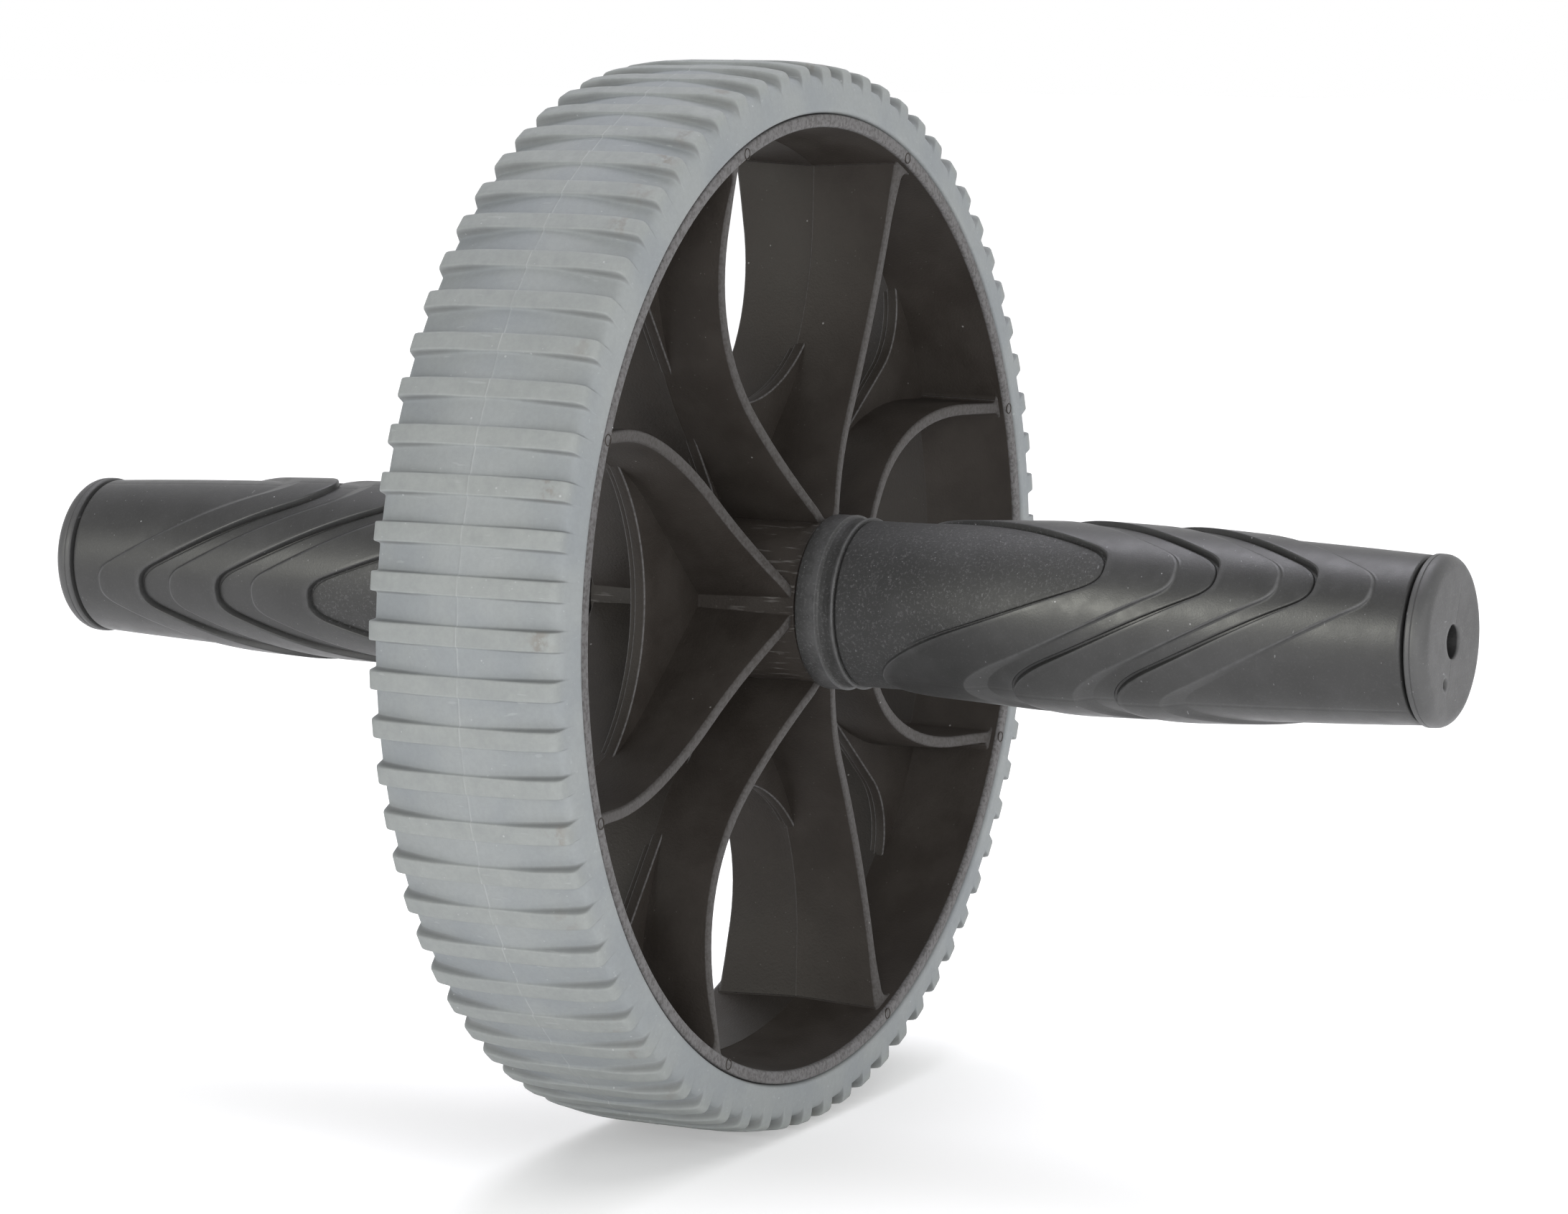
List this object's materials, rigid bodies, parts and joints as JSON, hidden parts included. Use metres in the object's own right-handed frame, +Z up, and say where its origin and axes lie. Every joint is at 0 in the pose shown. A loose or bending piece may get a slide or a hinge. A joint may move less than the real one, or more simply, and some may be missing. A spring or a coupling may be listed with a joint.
{
  "type": "ab wheel roller",
  "caption": "Exercise roller: a lugged rubber tread on a spoked moulded wheel that spins freely on a tube axle with a chevron-banded grip on each side.",
  "frame": {"origin": "centre of the wheel, on the axle line", "axes": "+Y along the axle toward the left handle, +Z up with the wheel standing on the floor, +X forward along the rolling direction"},
  "size_m": [0.184, 0.264, 0.184],
  "materials": {
    "tread_rubber": "matte, dusty on the lug tops",
    "core_plastic": "fine spark-eroded texture",
    "handle_plastic": "satin",
    "grip_rubber": "soft sheen with fine grain",
    "cap_plastic": "matte",
    "axle_steel": "bright drawn tube",
    "bearing_plastic": "natural nylon"
  },
  "bodies": {
    "handle_bar": {"axle_tube": "axle_steel", "right_grip_core": "handle_plastic", "left_grip_core": "handle_plastic", "right_grip_sleeve": "grip_rubber", "left_grip_sleeve": "grip_rubber", "right_end_cap": "cap_plastic", "left_end_cap": "cap_plastic", "right_thrust_washer": "bearing_plastic", "left_thrust_washer": "bearing_plastic"},
    "wheel": {"wheel_core": "core_plastic", "tread": "tread_rubber", "right_hub_bush": "bearing_plastic", "left_hub_bush": "bearing_plastic"}
  },
  "joints": [
    {"name": "wheel_spin", "type": "hinge", "parent": "handle_bar", "child": "wheel", "pos_m": [0, 0, 0], "axis": [0, 1, 0], "continuous": true}
  ]
}
